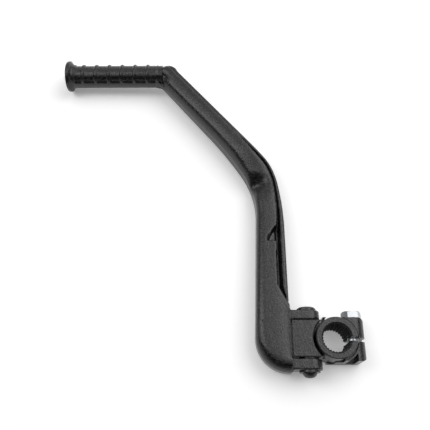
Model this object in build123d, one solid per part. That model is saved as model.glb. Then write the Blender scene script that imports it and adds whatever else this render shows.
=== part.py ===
from build123d import *
import math
import os

# Folding kick start lever, in millimetres.
# Origin on the splined bore's axis at the hub's rear face. Z runs along the bore,
# towards the ring face. Y runs along the fold pivot. The arm lies towards -X and +Y.

# Splined bore and split collar
spline_teeth = 30
spline_crest_d = 19.5
spline_depth = 0.8
spline_land_share = 0.36
spline_root_share = 0.24
collar_od = 30.2
hub_width = 26.0
bore_mouth_d = 22.7
bore_mouth_depth = 1.5
collar_edge = 0.6
split_width = 3.0
split_y = -0.6

# Turned relief round the collar
relief_width = 1.6
relief_edge = 0.7
relief_depth = 12.5
lug_relief_depth = 7.5

# Foot plate, head seat block and pinch lugs
foot_thickness = 5.5
foot_left = -5.2
foot_half_height = 15.8
foot_corner_r = 5.2
seat_block_left = -8.7
seat_half_height = 15.6
seat_block_base = 5.0
seat_block_setback = 4.5
lug_r = 8.3
lug_web = 4.6
lug_corner_r = 5.5
lug_overhang = 0.5
foot_lip = 0.4
lower_lug_end = -10.8
lug_side_wall = 7.3
pocket_lip = 1.2
pocket_corner_r = 1.2
pocket_slope = 45.0

# Pinch bolt, M8 hexagon
bolt_d = 8.0
bolt_to_crest = 0.25
bolt_z = 13.5
bolt_length = 25.0
bolt_head_af = 13.0
bolt_head_h = 5.3
bolt_head_edge = 0.9
bolt_hole_clearance = 0.3
thread_clearance = 0.05

# Fold pivot
pivot_x = -19.6
pivot_z = 15.5
pin_d = 9.0
pin_head_d = 14.4
pin_head_h = 2.6
pin_head_edge = 1.0
pin_end_recess = 0.2
running_clearance = 0.05
seat_clearance = 0.02

# Tang of the hub and fork of the arm
tang_half = 13.2
tang_setback = 1.3
tang_stop_gap = 0.7
tang_fold_gap = 0.7
tang_edge = 0.6
ear_reach = 12.7
fold_clearance = 0.8
ear_r = 7.5
ear_nose = 1.9
ear_bite = 4.0
upper_gap = 0.6
upper_ear = 7.1
lower_gap = 1.1
lower_ear = 7.7

# Thrust washer, end washer and button head screw
thrust_d = 14.4
thrust_side_gap = 0.1
washer_d = 15.0
washer_t = 1.4
screw_d = 6.0
screw_head_d = 10.5
screw_head_h = 3.3
screw_socket_af = 4.0
screw_socket_depth = 2.0
screw_length = 10.0
tap_extra = 2.0

# Detent in the tang's upper side
ball_d = 4.0
ball_proud = 1.1
ball_orbit = 7.8
ball_clearance = 0.1
seat_extra = 0.2
spring_hole_depth = 12.0
spring_wire = 0.6
spring_turns = 5
wire_sides = 4
spring_end_gap = 0.1

# Arm in plan: edge lines of the lower arm, then the bend and the diagonal
root_x = pivot_x - ear_reach
arm_heel_y = -23.6
arm_left_foot = (-57.9, 2.1)
arm_left_neck = (-54.3, 98.9)
arm_right_neck_y = 88.3
bend_out_r1 = 212.0
bend_out_a1 = 10.8
bend_out_r2 = 47.0
bend_in_r1 = 71.0
bend_in_a1 = 32.9
bend_in_r2 = 320.0
diagonal_angle = 40.7
ridge_inset_low = 5.2
ridge_inset_bend = 3.0
ridge_inset_top = 2.4
ridge_shoulder_y = 26.0
ridge_kink_y = 38.0
ridge_kink_r = 15.0

# Arm in side view, seen along X
arm_root_front = 23.0
arm_low_front = 20.8
arm_top_front = 25.2
arm_root_rear = 5.0
arm_top_rear = 9.4
root_end_y = 30.0
low_end_y = 100.0
rise_start_y = 131.0
rise_end_y = 152.0
shelf_drop_low = 4.0
shelf_drop_top = 2.4
arm_front_r = 2.4
arm_rear_r = 3.2
shelf_edge_r = 2.0
band_blend = 60.0
ridge_root = 6.0

# Notch and seam across the lower arm
seam_y = 77.5
seam_depth = 0.6
seam_overrun = 2.0
notch_depth = 9.0
notch_left_x = -45.6
notch_foot_x = -38.4
notch_right_x = -36.0
notch_height = 13.0
notch_lip = 1.8

# Foot peg
peg_inner = (-131.0, 235.2, 15.9)
peg_outer = (-218.4, 236.6, 13.45)
peg_r = 10.15
peg_groove = 0.75
groove_corner = 0.5
ring_width = 2.4
ring_pitch = 11.55
ring_count = 6
first_ring = 13.0
strip_centre = 98.0
strip_half = 29.0
lip_r = 13.4
lip_w = 3.0
lip_blend = 4.6
knuckle_r = 10.6
crotch_r = 12.0
crotch_web = 9.0
lip_edge = 0.9

# Derived sizes
crest_r = spline_crest_d / 2
root_r = crest_r + spline_depth
collar_r = collar_od / 2
bolt_x = crest_r + bolt_to_crest + bolt_d / 2
hub_right = bolt_x + lug_r
tang_left = root_x + tang_stop_gap
tang_fold_r = ear_reach - tang_fold_gap
tang_rear = pivot_z - tang_fold_r
tang_front = hub_width - tang_setback
seat_block_top = hub_width - seat_block_setback
plan_height = arm_top_front + knuckle_r
upper_ear_in = tang_half + upper_gap
upper_ear_out = upper_ear_in + upper_ear
lower_ear_in = -tang_half - lower_gap
lower_ear_out = lower_ear_in - lower_ear


def save(part, name):
    part.label = name
    export_step(part, "parts/" + name + ".step")


def along_y(x, z, y_from, y_to, radius):
    """A cylinder parallel to Y, from one Y to the other."""
    height = abs(y_to - y_from)
    middle = (y_to + y_from) / 2
    return Pos(x, middle, z) * Rot(90, 0, 0) * Cylinder(radius, height)


def slab(x0, x1, y0, y1, z0, z1):
    """A box between two corners."""
    size = (x1 - x0, y1 - y0, z1 - z0)
    return Pos((x0 + x1) / 2, (y0 + y1) / 2, (z0 + z1) / 2) * Box(*size)


def on_xz(sketch, y_from, y_to):
    """Carries a sketch drawn as (X, Z) from one Y to the other."""
    plane = Plane(origin=(0, y_to, 0), x_dir=(1, 0, 0), z_dir=(0, -1, 0))
    return extrude(plane * sketch, amount=y_to - y_from)


# Hub

def spline_profile():
    """The bore's outline: crest lands at the crest diameter, straight-sided grooves between."""
    pitch = 2 * math.pi / spline_teeth
    mouth = pitch * (1 - spline_land_share) / 2
    floor = pitch * spline_root_share / 2
    inner_r = crest_r - 0.3
    groove = Polygon(
        (inner_r * math.cos(mouth), -inner_r * math.sin(mouth)),
        (crest_r * math.cos(mouth), -crest_r * math.sin(mouth)),
        (root_r * math.cos(floor), -root_r * math.sin(floor)),
        (root_r * math.cos(floor), root_r * math.sin(floor)),
        (crest_r * math.cos(mouth), crest_r * math.sin(mouth)),
        (inner_r * math.cos(mouth), inner_r * math.sin(mouth)),
        align=None,
    )
    half_pitch = 180 / spline_teeth
    return Circle(crest_r) + PolarLocations(0, spline_teeth, half_pitch) * groove


def hub_collar():
    collar = Pos(0, 0, hub_width / 2) * Cylinder(collar_r, hub_width)
    return chamfer(collar.edges().sort_by(Axis.Z)[-1], collar_edge)


def hub_tang():
    """Square at the front left, rounded about the pivot at the rear left."""
    outline = Rectangle(-tang_left, tang_front - tang_rear, align=(Align.MIN, Align.MIN))
    outline = Pos(tang_left, tang_rear) * outline
    corner = outline.vertices().group_by(Axis.X)[0].sort_by(Axis.Y)[0]
    outline = fillet(corner, tang_fold_r - 0.01)
    tang = on_xz(outline, -tang_half, tang_half)
    front = tang.edges().group_by(Axis.Z)[-1].filter_by(Axis.X)
    return chamfer(front, tang_edge)


def hub_foot():
    foot_right = hub_right + foot_lip
    foot = slab(foot_left, foot_right, -foot_half_height, foot_half_height, 0, foot_thickness)
    right = foot.edges().filter_by(Axis.Z).group_by(Axis.X)[-1]
    foot = fillet(right, foot_corner_r)
    left = foot.edges().filter_by(Axis.Z).group_by(Axis.X)[0]
    return fillet(left, lug_web / 4)


def lug_section():
    """D-shaped section round the bolt, reaching back into the collar."""
    web = Rectangle(bolt_x, 2 * lug_r, align=(Align.MIN, Align.CENTER))
    return Pos(0, bolt_z) * web + Pos(bolt_x, bolt_z) * Circle(lug_r)


def hub_lugs():
    lugs = on_xz(lug_section(), -foot_half_height, seat_half_height)
    width = hub_right + lug_overhang
    plan = Rectangle(width, foot_half_height + seat_half_height, align=(Align.MIN, Align.MIN))
    plan = Pos(0, -foot_half_height) * plan
    outer = plan.vertices().group_by(Axis.X)[-1]
    low = outer.sort_by(Axis.Y)[0]
    plan = fillet(low, foot_corner_r)
    high = plan.vertices().group_by(Axis.Y)[-1].sort_by(Axis.X)[-1]
    plan = fillet(high, lug_corner_r)
    return lugs & extrude(plan, amount=hub_width)


def lug_pocket():
    """The pocket between the relief's outer lip and the lower lug, open to the side."""
    pocket = Rectangle(hub_right - lug_side_wall, foot_half_height, align=(Align.MIN, Align.MAX))
    pocket = Pos(0, lower_lug_end) * pocket
    pocket -= Circle(collar_r + relief_width + pocket_lip)
    pocket = fillet(pocket.vertices().sort_by(Axis.Y)[-1], pocket_corner_r)
    pocket = Pos(0, 0, foot_thickness) * extrude(pocket, amount=hub_width)
    run = lower_lug_end + foot_half_height
    rise = run * math.tan(math.radians(pocket_slope))
    wedge = Polygon((0, 0), (run, 0), (run, rise), align=None)
    plane = Plane(origin=(0, -foot_half_height, foot_thickness), x_dir=(0, 1, 0), z_dir=(1, 0, 0))
    return pocket - extrude(plane * wedge, amount=hub_right)


def head_seat_block():
    block = slab(seat_block_left, bolt_x, 0, seat_half_height, seat_block_base, seat_block_top)
    return chamfer(block.edges().filter_by(Axis.Y).group_by(Axis.X)[0], 0.8)


def relief_ring(depth):
    """A turned ring round the collar, open to the front, with a bevelled outer edge."""
    outer = collar_r + relief_width
    bevel_z = depth - tang_setback - relief_edge
    bevel_h = depth - bevel_z
    low = (Align.CENTER, Align.CENTER, Align.MIN)
    ring = Cylinder(outer, depth, align=low)
    ring += Pos(0, 0, bevel_z) * Cone(outer, outer + bevel_h, bevel_h, align=low)
    ring -= Cylinder(collar_r, depth, align=low)
    return Pos(0, 0, hub_width - depth) * ring


def collar_relief():
    """Deep on the tang's side, shallow over the pinch lugs."""
    half = collar_r * 2
    tang_side = slab(-half, bolt_x - bolt_d, -half, half, 0, hub_width)
    return (relief_ring(relief_depth) & tang_side) + relief_ring(lug_relief_depth)


def detent_hole():
    x, z = detent_place()
    return along_y(x, z, tang_half - spring_hole_depth, tang_half, ball_d / 2 + ball_clearance)


def detent_place():
    """The ball sits on the orbit, halfway between the two pivot quadrants it serves."""
    leg = ball_orbit * math.sqrt(0.5)
    return pivot_x - leg, pivot_z - leg


def bore_cut():
    bore = Pos(0, 0, -1) * extrude(spline_profile(), amount=hub_width + 2)
    mouth_r = bore_mouth_d / 2
    slope = (mouth_r - crest_r) / bore_mouth_depth
    mouth = Pos(0, 0, hub_width - bore_mouth_depth) * Cone(
        crest_r, mouth_r + slope, bore_mouth_depth + 1, align=(Align.CENTER, Align.CENTER, Align.MIN))
    return bore + mouth


def clamp_hub():
    hub = hub_collar() + hub_foot() + hub_lugs() + head_seat_block() + hub_tang()
    hub -= lug_pocket()
    hub -= collar_relief()
    hub -= bore_cut()
    half_split = split_width / 2
    hub -= slab(0, hub_right + foot_lip + 1, split_y - half_split, split_y + half_split, -1, hub_width + 1)
    thread_r = bolt_d / 2 + thread_clearance
    hub -= along_y(bolt_x, bolt_z, lower_lug_end - 1, 0, thread_r)
    hub -= along_y(bolt_x, bolt_z, 0, seat_half_height + 1, bolt_d / 2 + bolt_hole_clearance)
    hub -= along_y(pivot_x, pivot_z, -tang_half - 1, tang_half + 1, pin_d / 2 + running_clearance)
    hub -= detent_hole()
    return hub


def pinch_bolt():
    head = extrude(RegularPolygon(bolt_head_af / 2, 6, major_radius=False), amount=bolt_head_h)
    crown = Cone(bolt_head_af / 2 + bolt_head_h, bolt_head_af / 2 - bolt_head_edge,
                 bolt_head_h + bolt_head_edge, align=(Align.CENTER, Align.CENTER, Align.MIN))
    head &= crown
    shank = Pos(0, 0, -bolt_length) * Cylinder(bolt_d / 2, bolt_length,
                                               align=(Align.CENTER, Align.CENTER, Align.MIN))
    shank = chamfer(shank.edges().sort_by(Axis.Z)[0], bolt_d / 10)
    seat = Plane(origin=(bolt_x, seat_half_height, bolt_z), x_dir=(1, 0, 0), z_dir=(0, 1, 0))
    return seat * (head + shank)


# Pivot hardware

def pivot_pin():
    shank_end = lower_ear_out + pin_end_recess
    pin = along_y(pivot_x, pivot_z, shank_end, upper_ear_out, pin_d / 2)
    head = along_y(pivot_x, pivot_z, upper_ear_out, upper_ear_out + pin_head_h, pin_head_d / 2)
    head = chamfer(head.edges().sort_by(Axis.Y)[-1], pin_head_edge)
    tapped = along_y(pivot_x, pivot_z, shank_end - 1, shank_end + screw_length + tap_extra,
                     screw_d / 2 + thread_clearance)
    return pin + head - tapped


def ring_washer(outer_d, inner_r, y_low, y_high):
    ring = along_y(pivot_x, pivot_z, y_low, y_high, outer_d / 2)
    return ring - along_y(pivot_x, pivot_z, y_low - 1, y_high + 1, inner_r)


def pivot_screw():
    """Button head screw: a ball's cap cut by the head's cylinder, with a hexagon socket."""
    head_r = screw_head_d / 2
    rim = screw_head_h / 6
    flat_r = screw_socket_af * 0.72
    rise = screw_head_h - rim
    drop = (head_r ** 2 - flat_r ** 2 - rise ** 2) / (2 * rise)
    ball_r = math.hypot(head_r, drop)
    low = (Align.CENTER, Align.CENTER, Align.MIN)
    head = Cylinder(head_r, screw_head_h, align=low)
    head &= Pos(0, 0, rim - drop) * Sphere(ball_r)
    shank = Cylinder(screw_d / 2, screw_length, align=(Align.CENTER, Align.CENTER, Align.MAX))
    screw = head + shank
    socket = RegularPolygon(screw_socket_af / 2, 6, major_radius=False)
    screw -= Pos(0, 0, screw_head_h - screw_socket_depth) * extrude(socket, amount=screw_socket_depth)
    seat_y = lower_ear_out - washer_t
    seat = Plane(origin=(pivot_x, seat_y, pivot_z), x_dir=(1, 0, 0), z_dir=(0, -1, 0))
    return seat * screw


def detent_ball():
    x, z = detent_place()
    return Pos(x, tang_half + ball_proud - ball_d / 2, z) * Sphere(ball_d / 2)


def detent_spring():
    x, z = detent_place()
    ball_low = tang_half + ball_proud - ball_d
    floor = tang_half - spring_hole_depth
    coil_r = ball_d / 2 - spring_wire / 2 - ball_clearance
    height = ball_low - floor - spring_wire - 2 * spring_end_gap
    path = Helix(pitch=height / spring_turns, height=height, radius=coil_r)
    start = Plane(origin=path @ 0, z_dir=path % 0)
    coil = sweep(start * RegularPolygon(spring_wire / 2, wire_sides), path=path)
    base = floor + spring_end_gap + spring_wire / 2
    seat = Plane(origin=(x, base, z), x_dir=(1, 0, 0), z_dir=(0, 1, 0))
    return seat * coil


# Arm

def outer_bend():
    """Right-hand edge: straight, two tangent arcs, then the diagonal."""
    first = JernArc((root_x, arm_right_neck_y), (0, 1), bend_out_r1, bend_out_a1)
    second = JernArc(first @ 1, first % 1, bend_out_r2, diagonal_angle - bend_out_a1)
    return first, second


def left_slope():
    """Direction of the lower arm's left-hand edge, and its lean from Y in degrees."""
    slope = (Vector(*arm_left_neck) - Vector(*arm_left_foot)).normalized()
    return slope, math.degrees(math.atan2(slope.X, slope.Y))


def inner_bend():
    """Left-hand edge, bent the same way."""
    slope, lean = left_slope()
    first = JernArc(arm_left_neck, (slope.X, slope.Y), bend_in_r1, bend_in_a1 + lean)
    second = JernArc(first @ 1, first % 1, bend_in_r2, diagonal_angle - bend_in_a1)
    return first, second


def run_to_y(start, direction, y):
    """The point where a line from start reaches a height in plan."""
    scale = (y - start.Y) / direction.Y
    return start + direction * scale


def ridge_edge():
    """Right-hand edge of the raised ridge, a little inside the arm's own edge."""
    first, second = outer_bend()
    slope = Vector(second % 1)
    inward = Vector(-slope.Y, slope.X)
    bend_mid = second @ 0.45
    bend_end = second @ 1 + inward * ridge_inset_top
    low = (root_x - ridge_inset_low, arm_right_neck_y)
    middle = Vector(bend_mid) + Vector(-1, -0.35) * ridge_inset_bend
    return Spline(low, middle, bend_end, tangents=[(0, 1), (slope.X, slope.Y)])


def beside_knuckle(edge):
    """The point on an edge's run-on that lies beside the knuckle's centre."""
    start, along = Vector(edge @ 1), Vector(edge % 1)
    centre = Vector(peg_inner[0], peg_inner[1])
    return start + along * (centre - start).dot(along)


def arm_plan(raised):
    """Closed outline in plan, round at the knuckle. The raised ridge stops short of the right edge."""
    in1, in2 = inner_bend()
    if raised:
        edge = ridge_edge()
        right_curve = [edge]
        right_start = edge @ 0
        root_top = (root_x, ridge_shoulder_y)
        lower = [Polyline(root_top, (right_start.X, ridge_kink_y), right_start)]
    else:
        right_curve = list(outer_bend())
        root_top = (root_x, arm_right_neck_y)
        lower = []
    last = right_curve[-1]
    right_top, left_top = beside_knuckle(last), beside_knuckle(in2)
    far = Vector(peg_inner[0], peg_inner[1]) + Vector(in2 % 1) * knuckle_r
    heel_end = (root_x, arm_heel_y)
    slope, lean = left_slope()
    heel = TangentArc(arm_left_foot, heel_end, tangent=(-slope.X, -slope.Y))
    pieces = [Line(heel_end, root_top)] + lower + right_curve
    pieces += [Line(last @ 1, right_top), ThreePointArc(right_top, far, left_top), Line(left_top, in2 @ 1)]
    pieces += [in2, in1, Line(in1 @ 0, arm_left_foot), heel]
    face = make_face(Curve() + pieces)
    if raised:
        kink = face.vertices().sort_by_distance((right_start.X, ridge_kink_y))[0]
        face = fillet(kink, ridge_kink_r)
    return face


def side_band(front_points, rear_points, blend):
    """The arm's thickness seen from the side, as (Y, Z), carried across the whole width."""
    outline = Polyline(*front_points, *reversed(rear_points), close=True)
    face = make_face(outline)
    ends = {round(front_points[0][0], 3), round(front_points[-1][0], 3)}
    inner = [v for v in face.vertices() if round(v.X, 3) not in ends]
    face = fillet(inner, blend)
    plane = Plane(origin=(peg_outer[0], 0, 0), x_dir=(0, 1, 0), z_dir=(1, 0, 0))
    return extrude(plane * face, amount=-peg_outer[0])


def front_line(drop_low, drop_top):
    """Front face in side view: level at the root, falling to the bend, then up to the diagonal."""
    return [
        (arm_start_y(), arm_root_front - drop_low),
        (root_end_y, arm_root_front - drop_low),
        (low_end_y, arm_low_front - drop_low),
        (rise_start_y, arm_low_front - drop_low),
        (rise_end_y, arm_top_front - drop_top),
        (arm_finish_y(), arm_top_front - drop_top),
    ]


def rear_line(rise):
    """Rear face in side view: it comes down to the ground plane at the bend, and rises again."""
    return [
        (arm_start_y(), arm_root_rear + rise),
        (root_end_y, arm_root_rear + rise),
        (low_end_y, rise),
        (rise_start_y, rise),
        (arm_finish_y(), arm_top_rear + rise),
    ]


def arm_start_y():
    return arm_heel_y - knuckle_r


def arm_finish_y():
    return peg_inner[1] + 2 * knuckle_r


def fork():
    """Two ears, round about the pivot, standing off the arm's root face."""
    ears = Part()
    for y_low, y_high in ((upper_ear_in, upper_ear_out), (lower_ear_out, lower_ear_in)):
        outline = Pos(ear_nose, 0) * Circle(ear_r)
        length = ear_reach + ear_nose + ear_bite
        outline += Pos(ear_nose, 0) * Rectangle(length, 2 * ear_r, align=(Align.MAX, Align.CENTER))
        ears += on_xz(Pos(pivot_x, pivot_z) * outline, y_low, y_high)
    return ears


def peg_frame():
    inner, outer = Vector(*peg_inner), Vector(*peg_outer)
    return Plane(origin=peg_inner, x_dir=(0, 1, 0), z_dir=(outer - inner).normalized())


def peg_length():
    return (Vector(*peg_outer) - Vector(*peg_inner)).length


def foot_peg():
    """Domed at the arm's end, grooved between rings save for a plain strip, with a trumpet lip."""
    length = peg_length()
    face_z = length + lip_w / 2
    back_z = length - lip_w / 2
    flare = lip_blend - lip_w / 2
    slant = knuckle_r * math.sqrt(0.5)
    profile = ThreePointArc((0, -knuckle_r), (slant, -slant), (knuckle_r, 0))
    profile += Line((knuckle_r, 0), (peg_r, knuckle_r - peg_r))
    profile += Line((peg_r, knuckle_r - peg_r), (peg_r, back_z - flare))
    profile += Line((peg_r, back_z - flare), (peg_r + flare * 0.3, back_z - flare * 0.35))
    profile += Line((peg_r + flare * 0.3, back_z - flare * 0.35), (lip_r - lip_edge, back_z))
    profile += Line((lip_r - lip_edge, back_z), (lip_r, back_z + lip_edge))
    profile += Line((lip_r, back_z + lip_edge), (lip_r, face_z - lip_edge))
    profile += Line((lip_r, face_z - lip_edge), (lip_r - lip_edge, face_z))
    profile += Line((lip_r - lip_edge, face_z), (0, face_z))
    profile += Line((0, face_z), (0, -knuckle_r))
    peg = revolve(Plane.XZ * make_face(profile), Axis.Z)
    gap = ring_pitch - ring_width
    for number in range(ring_count + 1):
        low = length - first_ring - number * ring_pitch + ring_width / 2
        high = low + gap
        if number == 0:
            high = back_z - flare - groove_corner
        if number == ring_count:
            low += gap * 0.22
        section = Pos(peg_r - peg_groove, low) * Rectangle(3, high - low, align=(Align.MIN, Align.MIN))
        section = chamfer(section.vertices().group_by(Axis.X)[0], groove_corner)
        turn = revolve(Plane.XZ * section, Axis.Z, 360 - 2 * strip_half)
        peg -= Rot(0, 0, strip_start()) * turn
    return peg_frame() * peg


def strip_start():
    """Turns the grooves so that the plain strip faces down and a little to the rear."""
    frame = peg_frame()
    angle = math.radians(strip_centre)
    away = Vector(0, -math.sin(angle), math.cos(angle))
    local_x = away.dot(frame.x_dir)
    local_y = away.dot(frame.y_dir)
    return math.degrees(math.atan2(local_y, local_x)) + strip_half


def notch():
    """The hollow above the seam: a leaf with a straight foot, leaning up towards the shelf."""
    foot_left = (notch_left_x, seam_y)
    foot_right = (notch_foot_x, seam_y)
    top_y = seam_y + notch_height
    right = (notch_right_x, top_y - notch_lip)
    top = (notch_right_x - notch_lip, top_y)
    width = notch_right_x - notch_left_x
    side = (notch_left_x + width * 0.38, seam_y + notch_height * 0.68)
    outline = Line(foot_left, foot_right) + Line(foot_right, right) + Line(right, top)
    outline += ThreePointArc(top, side, foot_left)
    cut = extrude(make_face(outline), amount=plan_height)
    return Pos(0, 0, arm_low_front - notch_depth) * cut


def seam():
    fall = (seam_y - root_end_y) / (low_end_y - root_end_y)
    face_z = arm_root_front - fall * (arm_root_front - arm_low_front)
    depth = seam_depth
    mouth = 2 * depth
    groove = Polyline((seam_y - mouth, face_z + depth), (seam_y + mouth, face_z + depth),
                      (seam_y, face_z - depth), close=True)
    start_x = arm_left_foot[0]
    plane = Plane(origin=(start_x, 0, 0), x_dir=(0, 1, 0), z_dir=(1, 0, 0))
    return extrude(plane * make_face(groove), amount=notch_left_x + seam_overrun - start_x)


def detent_track():
    """Seats at both ends of the fold and a shallower track between them."""
    x, z = detent_place()
    radius = ball_d / 2 + ball_clearance
    centre_y = tang_half + ball_proud - ball_d / 2
    ball = Sphere(radius)
    start = Pos(x, centre_y, z) * Sphere(radius + seat_extra)
    finish = Pos(x, centre_y, 2 * pivot_z - z) * Sphere(radius + seat_extra)
    circle = Pos(ball_orbit, 0) * Circle(radius)
    lane = revolve(Plane.XZ * circle, Axis.Z, 90)
    frame = Plane(origin=(pivot_x, centre_y, pivot_z), x_dir=(-1, 0, -1), z_dir=(0, 1, 0))
    return start + finish + frame * lane


def shoulder_edges(body, side, with_root):
    """Edges between a front or rear face and the arm's long walls, on one face of the arm."""
    walls = []
    for face in body.faces():
        upright = abs(face.normal_at().Z) < 0.3
        at_root = abs(face.center().X - root_x) < 0.2 and not with_root
        if upright and not at_root:
            walls += face.edges()
    flats = [face for face in body.faces() if face.normal_at().Z * side > 0.5]
    edges = []
    for face in flats:
        edges += [e for e in face.edges() if any(e.is_same(w) for w in walls)]
    return edges


def arm_body():
    """The full-width web with the raised ridge over it, each with rounded shoulders."""
    shelf = front_line(shelf_drop_low, shelf_drop_top)
    web = extrude(arm_plan(False), amount=plan_height) & side_band(shelf, rear_line(0), band_blend)
    web = fillet(shoulder_edges(web, -1, True), arm_rear_r)
    web = fillet(shoulder_edges(web, 1, True), shelf_edge_r)
    crest = front_line(0, 0)
    rear = rear_line(ridge_root)
    ridge = extrude(arm_plan(True), amount=plan_height) & side_band(crest, rear, band_blend)
    ridge = fillet(shoulder_edges(ridge, 1, False), arm_front_r)
    return web + ridge


def fold_relief():
    """Hollow at the fork's root, which clears the collar's rear edge when the arm is folded."""
    depth = pivot_z - ear_reach + fold_clearance
    top = pivot_z - (-collar_r - pivot_x) + fold_clearance
    return slab(root_x - depth, root_x + 1, lower_ear_in, upper_ear_in, -1, top)


def crotch():
    """The web that rounds out the corner between the peg and the arm's left-hand edge."""
    edge = inner_bend()[1]
    along = Vector(edge % 1)
    corner = run_to_y(edge @ 1, along, peg_inner[1] - peg_r)
    turn = 180 - math.degrees(math.atan2(along.Y, -along.X))
    tangent_run = crotch_r / math.tan(math.radians(turn) / 2)
    on_peg = corner - Vector(tangent_run, 0)
    on_arm = corner - along * tangent_run
    arc = TangentArc(on_peg, on_arm, tangent=(1, 0))
    inner_top = on_peg + Vector(0, peg_r)
    arm_side = on_arm + Vector(peg_r, 0)
    inside = Polyline(on_arm, arm_side, inner_top + Vector(peg_r, 0), inner_top, on_peg)
    web = extrude(make_face(arc + inside), amount=crotch_web)
    return Pos(0, 0, peg_inner[2] - crotch_web / 2) * web


def lever_arm():
    arm = arm_body() + fork() + crotch()
    arm -= fold_relief()
    arm += foot_peg()
    arm -= notch()
    arm -= seam()
    arm -= detent_track()
    arm -= along_y(pivot_x, pivot_z, lower_ear_out - 1, upper_ear_out + 1, pin_d / 2 + seat_clearance)
    return arm


if __name__ == "__main__":
    os.makedirs("parts", exist_ok=True)
    save(lever_arm(), "lever_arm")
    save(clamp_hub(), "clamp_hub")
    save(pinch_bolt(), "pinch_bolt")
    save(pivot_pin(), "pivot_pin")
    save(ring_washer(thrust_d, pin_d / 2 + thrust_side_gap, lower_ear_in + thrust_side_gap,
                     -tang_half), "thrust_washer")
    save(ring_washer(washer_d, screw_d / 2 + thrust_side_gap, lower_ear_out - washer_t,
                     lower_ear_out), "pivot_washer")
    save(pivot_screw(), "pivot_screw")
    save(detent_ball(), "detent_ball")
    save(detent_spring(), "detent_spring")
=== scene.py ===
import math

import bmesh
import bpy
import numpy as np
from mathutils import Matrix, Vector


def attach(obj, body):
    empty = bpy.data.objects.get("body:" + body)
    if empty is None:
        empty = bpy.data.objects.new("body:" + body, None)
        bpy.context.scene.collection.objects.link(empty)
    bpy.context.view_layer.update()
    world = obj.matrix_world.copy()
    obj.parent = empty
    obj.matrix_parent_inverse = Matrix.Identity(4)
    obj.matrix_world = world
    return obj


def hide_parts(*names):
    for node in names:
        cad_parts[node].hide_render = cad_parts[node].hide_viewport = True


bl_info = {
    "name": "Kick start lever",
    "version": (1, 0, 0),
    "blender": (4, 5, 0),
    "location": "3D View > Sidebar > Lever",
    "description": "Dresses a folding kick start lever and sets up its studio",
    "category": "Object",
}

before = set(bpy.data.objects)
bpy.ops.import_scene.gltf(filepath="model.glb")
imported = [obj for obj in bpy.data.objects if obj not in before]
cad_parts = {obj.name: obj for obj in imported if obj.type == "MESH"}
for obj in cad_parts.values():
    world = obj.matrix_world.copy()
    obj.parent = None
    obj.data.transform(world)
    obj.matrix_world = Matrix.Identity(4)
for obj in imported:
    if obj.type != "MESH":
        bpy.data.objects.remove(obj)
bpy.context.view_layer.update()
MM = 0.001

# Sizes are in millimetres and headings in degrees to the left of +Y, up to the studio's values.
# A table holds pairs of a place along Y and the value there, with straight lines between them.

# The arm's outline in plan, as the solid has it. A bend holds the radius it starts with, the
# heading at which that gives way, and the radius after it.
ROOT_X = -32.3
HEEL_Y = -23.6
HEEL_STEPS = 110
LEFT_FOOT = (-57.9, 2.1)
LEFT_NECK = (-54.3, 98.9)
RIGHT_FOOT_Y = -12.0
RIGHT_NECK_Y = 88.3
BEND_OUT = (212.0, 10.8, 47.0)
BEND_IN = (71.0, 32.9, 320.0)
DIAGONAL = 40.7
KNUCKLE = (-131.0, 235.2)
EDGE_STEP = 0.4

# The front face's level, which steps up past the bend
FRONT_LEVEL = ((30.0, 23.0), (100.0, 20.8))
RISE_Y = 130.0
RISE_LENGTH = 30.0
RISE_HEIGHT = 4.4

# Its round left shoulder, and how far it leans to the left and to the right. A lean starts at a
# share of the width and grows by a power of what lies beyond.
SHOULDER_REACH = ((-12.0, 9.0), (8.0, 6.5), (40.0, 6.5), (100.0, 6.0), (150.0, 5.0))
SHOULDER_DEPTH = ((-12.0, 8.0), (8.0, 5.0), (100.0, 5.6), (150.0, 7.0))
LEFT_LEAN = ((115.0, 0.4), (155.0, 4.2))
LEFT_LEAN_SHARE = 0.75
LEFT_LEAN_POWER = 1.6
RIGHT_LEAN = ((100.0, 0.5), (125.0, 1.5), (160.0, 0.9))
RIGHT_LEAN_START = 0.5
RIGHT_LEAN_SHARE = 0.4

# The flange on the right, with the reach and depth of its rounded rim, and the groove between
# it and the face
FLANGE_FOOT_Y = 24.0
FLANGE_DROP = ((100.0, 4.0), (150.0, 2.6))
FLANGE_ROUND = (0.9, 0.5)
FLANGE_WIDTH = ((24.0, 0.0), (40.0, 4.1), (84.0, 4.1), (100.0, 3.6), (130.0, 2.3), (170.0, 1.9))
GROOVE_REACH = ((24.0, 0.0), (40.0, 7.8), (84.0, 7.6), (100.0, 5.7), (130.0, 4.4), (170.0, 3.8))
GROOVE_DEPTH = ((28.0, 3.0), (36.0, 7.5), (84.0, 7.5), (100.0, 4.0), (150.0, 3.0), (180.0, 0.3))
WALL_WIDTH = 0.6

# The hollow under the bend's crown: where its far wall and its near ramp start along its axis,
# and how long each is
HOLLOW = (-52.6, 130.0)
HOLLOW_TURN = -22.0
HOLLOW_DEPTH = 6.6
HOLLOW_WIDTH = 5.0
HOLLOW_FAR = 7.0
HOLLOW_WALL = 12.0
HOLLOW_NEAR = 20.0
HOLLOW_RAMP = 17.0

# The pit below the knuckle, the notch beside the flange, and the least height and width that
# the front face is worked out for
PIT = (-132.6, 229.8)
PIT_LENGTH = 2.6
PIT_WIDTH = 1.8
PIT_DEPTH = 1.9
NOTCH = ((-47.3, 76.3), (-37.4, 76.2), (-36.0, 82.0), (-35.9, 86.2), (-38.8, 88.2),
         (-46.6, 79.6))
NOTCH_DEPTH = ((76.0, 8.5), (88.5, 1.5))
LOWEST_FRONT = 10.0
NARROWEST = 0.1

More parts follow.
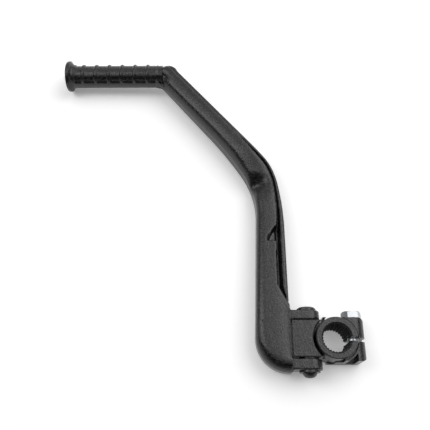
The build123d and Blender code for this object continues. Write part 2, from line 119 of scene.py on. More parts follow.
# The round end above the knuckle: how far back from its centre it still takes hold, how fast it
# opens out there, and the band in which it lets go of the side where the peg starts
BALL = (-129.5, 234.2, 15.9)
BALL_R = 10.0
BALL_BACK = 8.0
BALL_OPENS = 0.5
BALL_POWER = 1.5
BALL_NEAR_SIDE = 7.0
BALL_FADE = 6.0

# How the forging's skin is made: on a grid, cut off at the peg's stub. The front is what lies
# above REAR_Z and clear of the fork, and the round end is what lies beyond END_CORNER.
VOXEL = 0.65
WELD = 0.001
RELAX = 0.5
RELAX_ROUNDS = 3
STUB_X = -141.5
REAR_Z = 4.0
FORK_GAP = 0.3
END_CORNER = (-118.0, 218.0)

# The foot peg's axis, from the knuckle outwards, and its core
PEG_INNER = (-131.0, 235.2, 15.9)
PEG_OUTER = (-218.4, 236.6, 13.45)
PEG_LENGTH = math.dist(PEG_INNER, PEG_OUTER)
PEG_R = 10.15
PEG_START = 3.5
PEG_ROWS = 420
PEG_SIDES = 144

# Along it: the necked-in shoulder, a plain start, then rings and the grooves between them, up
# to RIBS_END short of its end, and cut at RIBS_LAST
PEG_NECK = 1.0
PEG_NECK_LENGTH = 3.0
PEG_PLAIN = 8.3
PEG_GROOVE = 0.95
PEG_RING = 2.4
PEG_PITCH = 11.55
PEG_FIRST_RING = 13.0
CREST = 0.12
CREST_WIDTH = 0.95
RIBS_END = 5.8
RIBS_LAST = 5.6

# Its plain strip: the middle, round from -Y by the front, and half the width
PEG_STRIP = math.radians(-8.0)
PEG_STRIP_HALF = math.radians(29.0)

# How soft the peg's steps are: a ring's flank, the ends of the ribs, and the strip's edge in
# radians
FLANK = 0.16
RIB_END = 0.2
STRIP_EDGE = 0.035

# The peg's lip and its end
LIP_R = 13.4
LIP_START = 5.2
LIP_LENGTH = 3.9
LIP_POWER = 2.2
RIM_OUT = 0.1
RIM_BACK = 1.4
RIM_ROUND = 0.6
RIM_ROWS = 14
DISH = 0.25
DISH_POWER = 4
DISH_ROWS = 22

# Grain sizes of the finishes, the spread of the coat's roughness, and where the bore ends
COAT_MOTTLE = 14.0
COAT_PEEL = 1.1
COAT_DIMPLE = 5.0
COAT_GRIT = 1.6
COAT_PITS = 7.0
COAT_SPREAD = (-0.05, 0.07)
BORE_EDGE = (10.5, 10.9)
ZINC_CLOUD = 3.0
STEEL_GRIND = 0.6

# The studio, in metres: the floor, the lamps and the camera's place
FLOOR_HALF = 3.0
FLOOR_Z = -0.0003
LEVER_MIDDLE = (-0.08, 0.1, 0.0)
RIGHT_BOX = (0.58, 0.45, 1.02)
RIGHT_BOX_SIZE = (1.0, 1.0)
LEFT_BOX = (-0.82, 0.2, 0.95)
LEFT_BOX_SIZE = (0.4, 0.9)
EYE = (-0.0877, -0.0732, 0.4228)
SENSOR = 36.0
SKY_AXIS = (0.0, 0.5, 0.866)
SKY_FADE = (0.46, 0.66)
HORIZON_FADE = (0.1, 0.16)


# Colour and material helpers

def linear(hex_colour):
    """An sRGB hex colour as linear RGBA: c/12.92 below 0.04045, else ((c + 0.055)/1.055)^2.4."""
    parts = np.array([int(hex_colour[i:i + 2], 16) for i in (1, 3, 5)]) / 255
    lin = np.where(parts <= 0.04045, parts / 12.92, ((parts + 0.055) / 1.055) ** 2.4)
    return (*lin.tolist(), 1.0)


def add(tree, kind, settings=None, links=None, **sockets):
    """One node of a kind: its settings, its links by input name or number, and its input values
    by name, with an underscore for a space."""
    node = tree.nodes.new(kind)
    for name, value in (settings or {}).items():
        setattr(node, name, value)
    for name, value in sockets.items():
        node.inputs[name.replace("_", " ")].default_value = value
    for name, source in (links or {}).items():
        tree.links.new(source, node.inputs[name])
    return node


def new_material(name):
    """An empty node material, its tree and its output node."""
    material = bpy.data.materials.new(name)
    material.use_nodes = True
    tree = material.node_tree
    tree.nodes.clear()
    return material, tree, tree.nodes.new("ShaderNodeOutputMaterial")


def grains_per_metre(size_mm):
    """A noise scale whose features are about size_mm across, on coordinates in metres."""
    return 1000.0 / size_mm


def mirrored_rays(tree, rays):
    """1 for a ray that was mirrored or went through glass, else 0."""
    either = add(tree, "ShaderNodeMath", {"operation": "MAXIMUM"},
                 {0: rays.outputs["Is Glossy Ray"], 1: rays.outputs["Is Transmission Ray"]})
    return either.outputs["Value"]


def finish_on(node_name, material):
    """Gives a CAD node a finish in place of its plain one."""
    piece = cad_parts[node_name]
    piece.data.materials.clear()
    piece.data.materials.append(material)


# Finishes

def powder_coat(finish):
    """Black powder coat, sprayed and baked on forged steel: a satin black with a fine orange peel
    over the forging's dimples, greyer grit and a few pits. In the splined bore, which is told by
    its distance from the Z axis, the coat is thin and dull."""
    material, tree, out = new_material("Powder coat on forged steel")
    coords = add(tree, "ShaderNodeTexCoord")
    here = coords.outputs["Object"]
    mottle = add(tree, "ShaderNodeTexNoise", links={"Vector": here},
                 Scale=grains_per_metre(COAT_MOTTLE), Detail=3.0, Roughness=0.55)
    peel = add(tree, "ShaderNodeTexNoise", links={"Vector": here},
               Scale=grains_per_metre(COAT_PEEL), Detail=2.0, Roughness=0.6)
    dimple = add(tree, "ShaderNodeTexNoise", links={"Vector": here},
                 Scale=grains_per_metre(COAT_DIMPLE), Detail=2.0, Roughness=0.5)
    grit = add(tree, "ShaderNodeTexNoise", links={"Vector": here},
               Scale=grains_per_metre(COAT_GRIT), Detail=3.0, Roughness=0.7)
    cells = add(tree, "ShaderNodeTexVoronoi", links={"Vector": here},
                Scale=grains_per_metre(COAT_PITS))

    speck = add(tree, "ShaderNodeMapRange", links={"Value": grit.outputs["Fac"]},
                From_Min=0.44, From_Max=0.68)
    tone = add(tree, "ShaderNodeMix", {"data_type": "RGBA"}, {"Factor": speck.outputs["Result"]},
               A=linear(finish.coat_dark), B=linear(finish.coat_light))

    satin = add(tree, "ShaderNodeMapRange", links={"Value": mottle.outputs["Fac"]},
                To_Min=finish.coat_roughness + COAT_SPREAD[0],
                To_Max=finish.coat_roughness + COAT_SPREAD[1])
    flat = add(tree, "ShaderNodeVectorMath", {"operation": "MULTIPLY"}, {0: here})
    flat.inputs[1].default_value = (1, 1, 0)
    reach = add(tree, "ShaderNodeVectorMath", {"operation": "LENGTH"},
                {0: flat.outputs["Vector"]})
    dull = add(tree, "ShaderNodeMapRange", links={"Value": reach.outputs["Value"]},
               From_Min=BORE_EDGE[0] * MM, From_Max=BORE_EDGE[1] * MM, To_Min=0.8, To_Max=0.0)
    rough = add(tree, "ShaderNodeMath", {"operation": "MAXIMUM"},
                {0: satin.outputs["Result"], 1: dull.outputs["Result"]})

    pit = add(tree, "ShaderNodeMapRange", links={"Value": cells.outputs["Distance"]},
              From_Max=0.09)
    pits = add(tree, "ShaderNodeBump", links={"Height": pit.outputs["Result"]},
               Strength=0.8, Distance=0.3 * MM)
    skin = add(tree, "ShaderNodeBump",
               links={"Height": peel.outputs["Fac"], "Normal": pits.outputs["Normal"]},
               Strength=0.8, Distance=0.3 * MM)
    body = add(tree, "ShaderNodeBump",
               links={"Height": dimple.outputs["Fac"], "Normal": skin.outputs["Normal"]},
               Strength=0.35, Distance=0.35 * MM)
    shader = add(tree, "ShaderNodeBsdfPrincipled",
                 links={"Base Color": tone.outputs["Result"], "Roughness": rough.outputs["Value"],
                        "Normal": body.outputs["Normal"]}, IOR=1.5)
    tree.links.new(shader.outputs["BSDF"], out.inputs["Surface"])
    return material


def zinc_plate(finish):
    """Bright zinc, plated on a cold-headed bolt: clear silver, a little clouded."""
    material, tree, out = new_material("Bright zinc plate")
    coords = add(tree, "ShaderNodeTexCoord")
    cloud = add(tree, "ShaderNodeTexNoise", links={"Vector": coords.outputs["Object"]},
                Scale=grains_per_metre(ZINC_CLOUD), Detail=3.0)
    rough = add(tree, "ShaderNodeMapRange", links={"Value": cloud.outputs["Fac"]},
                To_Min=0.3, To_Max=0.46)
    bump = add(tree, "ShaderNodeBump", links={"Height": cloud.outputs["Fac"]},
               Strength=0.12, Distance=0.08 * MM)
    shader = add(tree, "ShaderNodeBsdfPrincipled",
                 links={"Roughness": rough.outputs["Result"], "Normal": bump.outputs["Normal"]},
                 Base_Color=linear(finish.zinc), Metallic=1.0)
    tree.links.new(shader.outputs["BSDF"], out.inputs["Surface"])
    return material


def oiled_steel(finish):
    """Ground steel under a film of oil, for the ball and the spring: plain grey, fairly bright."""
    material, tree, out = new_material("Ground steel")
    coords = add(tree, "ShaderNodeTexCoord")
    grind = add(tree, "ShaderNodeTexNoise", links={"Vector": coords.outputs["Object"]},
                Scale=grains_per_metre(STEEL_GRIND), Detail=2.0)
    rough = add(tree, "ShaderNodeMapRange", links={"Value": grind.outputs["Fac"]},
                To_Min=0.25, To_Max=0.4)
    shader = add(tree, "ShaderNodeBsdfPrincipled", links={"Roughness": rough.outputs["Result"]},
                 Base_Color=linear(finish.steel), Metallic=1.0)
    tree.links.new(shader.outputs["BSDF"], out.inputs["Surface"])
    return material


def studio_floor(finish):
    """Matt white card. A little of its white is its own, for the camera and for reflections only,
    so it stays pale without more light on the lever, and it keeps the shadow."""
    material, tree, out = new_material("Matt white card")
    card = add(tree, "ShaderNodeBsdfDiffuse", Color=linear(finish.card))
    glow = add(tree, "ShaderNodeEmission", Color=(1, 1, 1, 1), Strength=finish.card_lift)
    rays = add(tree, "ShaderNodeLightPath")
    seen = add(tree, "ShaderNodeMath", {"operation": "MAXIMUM"},
               {0: rays.outputs["Is Camera Ray"], 1: mirrored_rays(tree, rays)})
    both = add(tree, "ShaderNodeAddShader",
               links={0: card.outputs["BSDF"], 1: glow.outputs["Emission"]})
    mix = add(tree, "ShaderNodeMixShader",
              links={"Fac": seen.outputs["Value"], 1: card.outputs["BSDF"],
                     2: both.outputs["Shader"]})
    tree.links.new(mix.outputs["Shader"], out.inputs["Surface"])
    return material


def studio_sky(world, stage):
    """A tent of light round an axis that leans 30 degrees from the zenith to the far side: bright
    within 49 degrees of the axis, dark from 63 degrees on. The camera sees plain white behind the
    floor, and mirrored rays see that white low down, where the floor ends."""
    world.use_nodes = True
    tree = world.node_tree
    coords = add(tree, "ShaderNodeTexCoord")
    way = coords.outputs["Generated"]
    lean = add(tree, "ShaderNodeVectorMath", {"operation": "DOT_PRODUCT"}, {0: way})
    lean.inputs[1].default_value = SKY_AXIS
    tent = add(tree, "ShaderNodeMapRange", {"interpolation_type": "SMOOTHSTEP"},
               {"Value": lean.outputs["Value"]},
               From_Min=SKY_FADE[0], From_Max=SKY_FADE[1],
               To_Min=stage.sky_low, To_Max=stage.sky_high)
    axes = add(tree, "ShaderNodeSeparateXYZ", links={"Vector": way})
    low = add(tree, "ShaderNodeMapRange", links={"Value": axes.outputs["Z"]},
              From_Min=HORIZON_FADE[0], From_Max=HORIZON_FADE[1], To_Min=1.0, To_Max=0.0)
    rays = add(tree, "ShaderNodeLightPath")
    shown = add(tree, "ShaderNodeMath", {"operation": "MULTIPLY"},
                {0: mirrored_rays(tree, rays), 1: low.outputs["Result"]})
    white = add(tree, "ShaderNodeMath", {"operation": "MAXIMUM"},
                {0: shown.outputs["Value"], 1: rays.outputs["Is Camera Ray"]})
    strength = add(tree, "ShaderNodeMix",
                   links={"Factor": white.outputs["Value"], "A": tent.outputs["Result"]}, B=1.0)
    back = tree.nodes["Background"]
    back.inputs["Color"].default_value = (1, 1, 1, 1)
    tree.links.new(strength.outputs["Result"], back.inputs["Strength"])


# The arm's outline in plan

def edge_arc(start, heading, radius, turn):
    """Points of an arc that turns left: start + R (cos(h + a) - cos h, sin(h + a) - sin h)."""
    count = max(3, int(radius * math.radians(turn) / EDGE_STEP))
    first = math.radians(heading)
    angle = first + np.linspace(0.0, math.radians(turn), count)
    return np.stack([start[0] + radius * (np.cos(angle) - math.cos(first)),
                     start[1] + radius * (np.sin(angle) - math.sin(first))], 1)


def edge_line(start, end):
    """Evenly spaced points of a straight edge."""
    start, end = np.asarray(start, float), np.asarray(end, float)
    count = max(2, int(np.linalg.norm(end - start) / EDGE_STEP))
    return start + np.linspace(0.0, 1.0, count)[:, None] * (end - start)


def beside(point, heading, centre):
    """The foot of the perpendicular from a centre onto the line from a point along a heading."""
    along = np.array([-math.sin(math.radians(heading)), math.cos(math.radians(heading))])
    return point + along * np.dot(np.asarray(centre) - point, along)


def arm_edges():
    """The arm's left and right edges, from the same lines and arcs as the solid. The heel is an
    arc that is tangent to the left edge at its foot and ends at the fork."""
    foot, neck = np.array(LEFT_FOOT), np.array(LEFT_NECK)
    along = (neck - foot) / np.linalg.norm(neck - foot)
    lean = math.degrees(math.atan2(along[0], along[1]))
    across = np.array([along[1], -along[0]])
    heel_end = np.array([ROOT_X, HEEL_Y])
    span = heel_end - foot
    heel_r = span @ span / (2 * span @ across)
    centre = foot + across * heel_r
    first = math.atan2(*(heel_end - centre)[::-1])
    last = math.atan2(*(foot - centre)[::-1])
    sweep = np.linspace(first, last if last < first else last - 2 * math.pi, HEEL_STEPS)
    heel = centre + heel_r * np.stack([np.cos(sweep), np.sin(sweep)], 1)
    in1 = edge_arc(neck, -lean, BEND_IN[0], BEND_IN[1] + lean)
    in2 = edge_arc(in1[-1], BEND_IN[1], BEND_IN[2], DIAGONAL - BEND_IN[1])
    left_top = beside(in2[-1], DIAGONAL, KNUCKLE)
    left = np.concatenate([heel, edge_line(foot, neck), in1, in2, edge_line(in2[-1], left_top)])
    out1 = edge_arc((ROOT_X, RIGHT_NECK_Y), 0.0, BEND_OUT[0], BEND_OUT[1])
    out2 = edge_arc(out1[-1], BEND_OUT[1], BEND_OUT[2], DIAGONAL - BEND_OUT[1])
    right_top = beside(out2[-1], DIAGONAL, KNUCKLE)
    right = np.concatenate([edge_line((ROOT_X, RIGHT_FOOT_Y), out1[0]), out1, out2,
                            edge_line(out2[-1], right_top)])
    return left, right


# The forging's front face

def nearest(points, line, chunk=8000):
    """Distance in plan from each point to the nearest point of a line."""
    out = np.empty(len(points), np.float32)
    line = line.astype(np.float32)
    for low in range(0, len(points), chunk):
        part = points[low:low + chunk, None, :2] - line[None]
        out[low:low + chunk] = np.sqrt((part ** 2).sum(2).min(1))
    return out


def along_arm(y, table):
    """A table's value at each y: straight lines between its pairs, level beyond its ends."""
    places, values = zip(*table)
    return np.interp(y, places, values)


def ease(share):
    """A soft step over a share from 0 to 1: 3 s^2 - 2 s^3."""
    share = np.clip(share, 0.0, 1.0)
    return share * share * (3.0 - 2.0 * share)


def run_and_side(points, centre, heading):
    """How far each point lies from a centre in plan, along a heading and to its right."""
    turn = math.radians(heading)
    offset = points[:, :2] - np.asarray(centre)
    run = -offset[:, 0] * math.sin(turn) + offset[:, 1] * math.cos(turn)
    side = offset[:, 0] * math.cos(turn) + offset[:, 1] * math.sin(turn)
    return run, side


def round_off(distance, reach, depth):
    """A quarter-ellipse shoulder: full depth at the edge, none at its reach."""
    share = np.clip(1.0 - distance / reach, 0.0, 1.0)
    return depth * (1.0 - np.sqrt(np.maximum(0.0, 1.0 - share ** 2)))


def tooled_hollow(points):
    """The hollow under the bend's crown: a steep far wall that looks down the arm, a floor that
    climbs gently back towards the hub, and a Gaussian across."""
    run, side = run_and_side(points, HOLLOW, HOLLOW_TURN)
    wall = ease((HOLLOW_FAR - run) / HOLLOW_WALL)
    ramp = ease((run + HOLLOW_NEAR) / HOLLOW_RAMP)
    return HOLLOW_DEPTH * wall * ramp * np.exp(-0.5 * (side / HOLLOW_WIDTH) ** 2)


def knuckle_pit(points):
    """The pit below the knuckle: a Gaussian both ways, longer along the arm."""
    run, side = run_and_side(points, PIT, DIAGONAL)
    return PIT_DEPTH * np.exp(-0.5 * ((run / PIT_LENGTH) ** 2 + (side / PIT_WIDTH) ** 2))


def notch_cut(points):
    """The notch: a steep wall within its outline, and a floor that climbs away from the hub. How
    far a point lies inside is the least of its distances to the outline's edges."""
    corners = np.array(NOTCH)
    ahead = np.roll(corners, -1, 0)
    along = (ahead - corners) / np.linalg.norm(ahead - corners, axis=1)[:, None]
    offset = points[:, None, :2] - corners[None]
    inside = (offset[:, :, 1] * along[None, :, 0] - offset[:, :, 0] * along[None, :, 1]).min(1)
    return np.clip(inside / WALL_WIDTH, 0.0, 1.0) * along_arm(points[:, 1], NOTCH_DEPTH)


def front_field(points):
    """Height of the forging's front face over the plan: its level, less the round left shoulder
    and the lean to either side, held down to the flange and its groove on the right, less the
    hollow, the pit and the notch."""
    left, right = arm_edges()
    y = points[:, 1]
    from_left, from_right = nearest(points, left), nearest(points, right)
    share = from_left / np.maximum(from_left + from_right, NARROWEST)
    level = along_arm(y, FRONT_LEVEL) + RISE_HEIGHT * ease((y - RISE_Y) / RISE_LENGTH)
    field = level - round_off(from_left, along_arm(y, SHOULDER_REACH),
                              along_arm(y, SHOULDER_DEPTH))
    left_share = np.clip((LEFT_LEAN_SHARE - share) / LEFT_LEAN_SHARE, 0, 1)
    field -= along_arm(y, LEFT_LEAN) * left_share ** LEFT_LEAN_POWER
    right_share = np.clip((share - RIGHT_LEAN_START) / RIGHT_LEAN_SHARE, 0, 1)
    field -= along_arm(y, RIGHT_LEAN) * right_share ** 2

    drop = along_arm(y, FLANGE_DROP) + round_off(from_right, *FLANGE_ROUND)
    wall = np.clip((from_right - along_arm(y, FLANGE_WIDTH)) / WALL_WIDTH, 0.0, 1.0)
    drop += wall * along_arm(y, GROOVE_DEPTH)
    lowered = (from_right < along_arm(y, GROOVE_REACH)) & (y > FLANGE_FOOT_Y)
    field = np.where(lowered, np.minimum(field, level - drop), field)

    field -= tooled_hollow(points)
    field -= knuckle_pit(points)
    field -= notch_cut(points)
    return np.maximum(field, LOWEST_FRONT)


# The forged arm

def ball_end(points):
    """Pulls the arm's end in to a ball about the knuckle: beyond the ball's centre along the arm
    no point lies farther from it than its radius, and short of it the limit opens out. The side
    where the peg starts keeps its shape."""
    beyond, _ = run_and_side(points, BALL[:2], DIAGONAL)
    offset = points - np.array(BALL)
    reach = np.linalg.norm(offset, axis=1)
    limit = BALL_R + np.clip(-beyond, 0.0, None) ** BALL_POWER * BALL_OPENS
    held = np.minimum(1.0, limit / np.maximum(reach, NARROWEST))
    pull = np.where(beyond > -BALL_BACK, held, 1.0)
    far_side = np.clip((offset[:, 1] + BALL_NEAR_SIDE) / BALL_FADE, 0.0, 1.0)
    pull = 1.0 - far_side * (1.0 - pull)
    return np.array(BALL) + offset * pull[:, None]


def voxel_skin(mesh, rounds):
    """The mesh remade on a fine even grid, then relaxed a little, as a forging's edges are."""
    holder = bpy.data.objects.new("holder", mesh)
    bpy.context.scene.collection.objects.link(holder)
    remesh = holder.modifiers.new("Even grid", "REMESH")
    remesh.mode = "VOXEL"
    remesh.voxel_size = VOXEL * MM
    relax = holder.modifiers.new("Relax", "SMOOTH")
    relax.factor = RELAX
    relax.iterations = rounds
    shape = holder.evaluated_get(bpy.context.evaluated_depsgraph_get())
    skin = bpy.data.meshes.new_from_object(shape)
    bpy.data.objects.remove(holder)
    return skin


def mesh_points(mesh):
    """A mesh's points as an array in millimetres."""
    flat = np.empty(len(mesh.vertices) * 3, np.float32)
    mesh.vertices.foreach_get("co", flat)
    return flat.reshape(-1, 3) / MM


def forged_arm():
    """The solid's arm, merged and cut off at the peg's stub, with its front face lowered to the
    forging's own field and its end rounded. The rear face and the fork's ears stay."""
    source = bmesh.new()
    source.from_mesh(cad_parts["lever_arm"].data)
    bmesh.ops.remove_doubles(source, verts=source.verts, dist=WELD * MM)
    everything = source.verts[:] + source.edges[:] + source.faces[:]
    bmesh.ops.bisect_plane(source, geom=everything, plane_co=(STUB_X * MM, 0, 0),
                           plane_no=(-1, 0, 0), clear_outer=True)
    bmesh.ops.holes_fill(source, edges=[e for e in source.edges if e.is_boundary])
    rough = bpy.data.meshes.new("arm_rough")
    source.to_mesh(rough)
    source.free()
    skin = voxel_skin(rough, 0)
    points = mesh_points(skin)
    in_front = (points[:, 2] > REAR_Z) & (points[:, 0] < ROOT_X - FORK_GAP)
    field = front_field(points)
    points[in_front, 2] = np.minimum(points[in_front, 2], field[in_front])
    at_end = (points[:, 0] < END_CORNER[0]) & (points[:, 1] > END_CORNER[1])
    points[at_end] = ball_end(points[at_end])
    skin.vertices.foreach_set("co", (points * MM).astype(np.float32).ravel())
    skin.update()
    finished = voxel_skin(skin, RELAX_ROUNDS)
    finished.shade_smooth()
    return finished


# The foot peg

def soft_step(distance, width):
    """From 0 to 1 across a distance of 0: 1 / (1 + exp(-distance / width))."""
    return 1.0 / (1.0 + np.exp(-distance / width))


def peg_radius(run, around):
    """Radius of the peg over its length and round it: a core with round-topped rings, smooth
    where the plain strip lies, a necked-in shoulder at the knuckle and a trumpet lip outside."""
    from_end = PEG_LENGTH - run
    phase = (from_end - PEG_FIRST_RING + PEG_PITCH / 2) % PEG_PITCH - PEG_PITCH / 2
    ribbed = soft_step(run - PEG_PLAIN, RIB_END) * soft_step(from_end - RIBS_END, RIB_END)
    off_strip = np.abs((around - PEG_STRIP + math.pi) % (2 * math.pi) - math.pi)
    ribbed *= soft_step(off_strip - PEG_STRIP_HALF, STRIP_EDGE)
    between = soft_step(np.abs(phase) - PEG_RING / 2, FLANK)
    between *= (run > PEG_PLAIN) & (from_end > RIBS_LAST)
    crest = np.exp(-(phase / CREST_WIDTH) ** 2)
    flare = np.clip((LIP_START - from_end) / LIP_LENGTH, 0.0, 1.0)
    neck = ease((PEG_PLAIN + PEG_NECK_LENGTH / 2 - run) / PEG_NECK_LENGTH)
    return (PEG_R - PEG_GROOVE * between * ribbed + CREST * crest * ribbed
            + (LIP_R - PEG_R) * flare ** LIP_POWER - PEG_NECK * neck)


def turned_peg():
    """A surface of revolution about the peg's axis: point = inner + run axis + r (cos, sin), with
    a round rim and a slightly dished end. The turn starts at the side towards -Y and goes round
    by the front."""
    inner, outer = np.array(PEG_INNER), np.array(PEG_OUTER)
    axis = (outer - inner) / np.linalg.norm(outer - inner)
    down = np.array([0.0, -1.0, 0.0])
    down -= axis * (down @ axis)
    down /= np.linalg.norm(down)
    front = np.cross(axis, down)
    front *= np.sign(front[2])
    rim_middle = PEG_LENGTH + RIM_OUT
    body = np.linspace(PEG_START, rim_middle - RIM_BACK, PEG_ROWS)
    around = np.linspace(0.0, 2 * math.pi, PEG_SIDES, endpoint=False)
    run, turn = np.meshgrid(body, around, indexing="ij")
    radius = peg_radius(run, turn)
    roll = np.linspace(0.0, math.pi, RIM_ROWS)[1:]
    rim_run = rim_middle - RIM_BACK * np.cos(roll)
    rim_r = LIP_R - RIM_ROUND + RIM_ROUND * np.sin(roll)
    dish = np.linspace(1.0, 0.0, DISH_ROWS)[1:-1]
    dish_run = rim_run[-1] - DISH * (1.0 - dish ** DISH_POWER)
    end_run = np.concatenate([rim_run, dish_run])
    end_r = np.concatenate([rim_r, rim_r[-1] * dish])
    run = np.concatenate([run, np.repeat(end_run[:, None], PEG_SIDES, 1)])
    radius = np.concatenate([radius, np.repeat(end_r[:, None], PEG_SIDES, 1)])
    turn = np.repeat(around[None], len(run), 0)
    ring = np.cos(turn)[..., None] * down + np.sin(turn)[..., None] * front
    points = inner + run[..., None] * axis + radius[..., None] * ring
    poles = np.stack([inner + axis * PEG_START, inner + axis * (rim_run[-1] - DISH)])
    return skin_of_rows(points.reshape(-1, 3), len(run), PEG_SIDES, poles)


def skin_of_rows(points, rows, sides, poles):
    """A closed tube of rings with a fan of triangles to a pole at each end."""
    here = np.arange(sides)
    there = (here + 1) % sides
    base = np.arange(rows - 1)[:, None] * sides
    quads = np.stack([base + here, base + there, base + sides + there, base + sides + here], 2)
    first, last = rows * sides, rows * sides + 1
    start_fan = np.stack([np.full(sides, first), there, here], 1)
    top = (rows - 1) * sides
    end_fan = np.stack([np.full(sides, last), top + here, top + there], 1)
    mesh = bpy.data.meshes.new("rows")
    faces = quads.reshape(-1, 4).tolist() + start_fan.tolist() + end_fan.tolist()
    mesh.from_pydata((np.concatenate([points, poles]) * MM).tolist(), [], faces)
    shape = bmesh.new()
    shape.from_mesh(mesh)
    bmesh.ops.recalc_face_normals(shape, faces=shape.faces)
    shape.to_mesh(mesh)
    shape.free()
    mesh.shade_smooth()
    return mesh


def new_piece(name, mesh, material, body):
    """A finished mesh as a piece that rides on a body."""
    piece = bpy.data.objects.new(name, mesh)
    bpy.context.scene.collection.objects.link(piece)
    mesh.materials.clear()
    mesh.materials.append(material)
    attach(piece, body)
    return piece


# The studio

def lay_floor(scene):
    """A large square of card, a little below the lever."""
    half = FLOOR_HALF
    mesh = bpy.data.meshes.new("studio_floor")
    mesh.from_pydata([(-half, -half, 0), (half, -half, 0), (half, half, 0), (-half, half, 0)],
                     [], [(0, 1, 2, 3)])
    floor = bpy.data.objects.new("studio_floor", mesh)
    floor.location.z = FLOOR_Z
    scene.collection.objects.link(floor)
    mesh.materials.append(studio_floor(scene.lever_finish))


def soft_box(name, place, size, power):
    """A rectangular area light at a place, facing the lever."""
    data = bpy.data.lights.new(name, "AREA")
    data.shape = "RECTANGLE"
    data.size, data.size_y = size
    data.energy = power
    lamp = bpy.data.objects.new(name, data)
    bpy.context.scene.collection.objects.link(lamp)
    lamp.location = place
    way = Vector(LEVER_MIDDLE) - Vector(place)
    lamp.rotation_euler = way.to_track_quat("-Z", "Y").to_euler()


def set_camera(scene):
    """The photograph's camera: above the lever's near half, tilted from straight down to +Y."""
    stage = scene.lever_stage
    camera = bpy.data.cameras.new("Camera")
    camera.sensor_width = SENSOR
    camera.lens = SENSOR * stage.lens_share
    camera.clip_start = 0.01
    eye = bpy.data.objects.new("Camera", camera)
    scene.collection.objects.link(eye)
    eye.location = EYE
    eye.rotation_euler = (stage.tilt, 0.0, 0.0)
    scene.camera = eye


# Properties

class LeverFinish(bpy.types.PropertyGroup):
    """Colours and gloss of the finishes"""
    coat_dark: bpy.props.StringProperty(
        name="Coat, dark", description="Darker tone of the black coat", default="#08080a")
    coat_light: bpy.props.StringProperty(
        name="Coat, light", description="Lighter tone of the black coat", default="#2b2c2d")
    coat_roughness: bpy.props.FloatProperty(
        name="Coat roughness", description="Satin of the black coat", default=0.25,
        min=0.1, max=0.9, subtype="FACTOR")
    zinc: bpy.props.StringProperty(
        name="Zinc", description="Colour of the zinc plate", default="#b6b8bb")
    steel: bpy.props.StringProperty(
        name="Steel", description="Colour of the plain steel", default="#b9babb")
    card: bpy.props.StringProperty(
        name="Card", description="Colour of the floor", default="#f4f4f4")
    card_lift: bpy.props.FloatProperty(
        name="Card lift", description="Share of the floor's white that is its own", default=0.23,
        min=0.0, max=1.0, subtype="FACTOR")


class LeverStage(bpy.types.PropertyGroup):
    """The camera's lean and lens, and the power of the lights"""
    tilt: bpy.props.FloatProperty(
        name="Tilt", description="Camera's lean from straight down",
        default=math.radians(23.0), subtype="ANGLE")
    lens_share: bpy.props.FloatProperty(
        name="Focal share", description="Focal length over the picture's width",
        default=550 / 430)
    right_power: bpy.props.FloatProperty(
        name="Right box", description="Power of the large box on the right", default=6.6,
        unit="POWER")
    left_power: bpy.props.FloatProperty(
        name="Left box", description="Power of the narrow box on the left", default=3.4,
        unit="POWER")
    sky_low: bpy.props.FloatProperty(
        name="Sky, near and low", description="Strength of the tent low on the near side",
        default=0.02)
    sky_high: bpy.props.FloatProperty(
        name="Sky, far and high", description="Strength of the tent overhead and beyond",
        default=0.85)


# Operators

class KICK_OT_finishes(bpy.types.Operator):
    """Puts the real finishes on the forged, turned and plated pieces"""
    bl_idname = "kick.finishes"
    bl_label = "Finishes"

    def execute(self, context):
        finish = context.scene.lever_finish
        black = powder_coat(finish)
        zinc = zinc_plate(finish)
        steel = oiled_steel(finish)
        for name in ("lever_arm", "clamp_hub", "thrust_washer", "pivot_pin", "pivot_washer",
                     "pivot_screw"):
            finish_on(name, black)
        finish_on("pinch_bolt", zinc)
        for name in ("detent_ball", "detent_spring"):
            finish_on(name, steel)
        return {"FINISHED"}


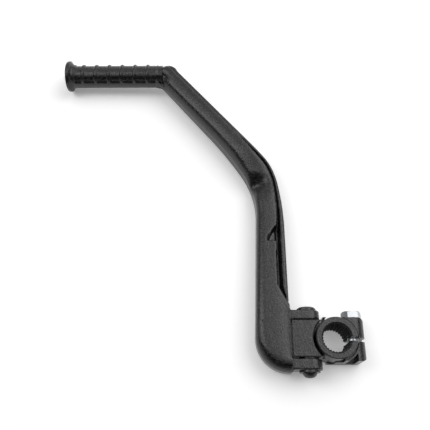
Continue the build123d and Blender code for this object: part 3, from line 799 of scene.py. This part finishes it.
class KICK_OT_arm(bpy.types.Operator):
    """Makes the forged arm and its turned foot peg in place of the plain solid"""
    bl_idname = "kick.arm"
    bl_label = "Arm and foot peg"

    def execute(self, context):
        black = bpy.data.materials["Powder coat on forged steel"]
        forging = new_piece("arm_forging", forged_arm(), black, "arm")
        peg = new_piece("foot_peg", turned_peg(), black, "arm")
        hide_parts("lever_arm")
        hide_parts("lever_arm")
        return {"FINISHED"}


class KICK_OT_stage(bpy.types.Operator):
    """Lays the pale floor and sets the two soft boxes, the sky and the photograph's camera"""
    bl_idname = "kick.stage"
    bl_label = "Studio"

    def execute(self, context):
        scene = context.scene
        stage = scene.lever_stage
        lay_floor(scene)
        soft_box("Right box", RIGHT_BOX, RIGHT_BOX_SIZE, stage.right_power)
        soft_box("Left box", LEFT_BOX, LEFT_BOX_SIZE, stage.left_power)
        scene.world = bpy.data.worlds.new("Studio sky")
        studio_sky(scene.world, stage)
        set_camera(scene)
        scene.view_settings.view_transform = "Standard"
        return {"FINISHED"}


class KICK_PT_panel(bpy.types.Panel):
    """Lists the lever's operators"""
    bl_label = "Kick start lever"
    bl_idname = "KICK_PT_panel"
    bl_space_type = "VIEW_3D"
    bl_region_type = "UI"
    bl_category = "Lever"

    def draw(self, context):
        for step in STEPS:
            self.layout.operator(step.bl_idname)


STEPS = (KICK_OT_finishes, KICK_OT_arm, KICK_OT_stage)
CLASSES = (LeverFinish, LeverStage) + STEPS + (KICK_PT_panel,)


def register():
    """Registers the classes and hangs the two groups of properties on the scene."""
    for cls in CLASSES:
        bpy.utils.register_class(cls)
    bpy.types.Scene.lever_finish = bpy.props.PointerProperty(type=LeverFinish)
    bpy.types.Scene.lever_stage = bpy.props.PointerProperty(type=LeverStage)


def unregister():
    """Takes back what register did."""
    del bpy.types.Scene.lever_stage
    del bpy.types.Scene.lever_finish
    for cls in reversed(CLASSES):
        bpy.utils.unregister_class(cls)


def main():
    """Dresses the lever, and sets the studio."""
    register()
    bpy.ops.kick.finishes()
    bpy.ops.kick.arm()
    bpy.ops.kick.stage()


if __name__ == "__main__":
    main()
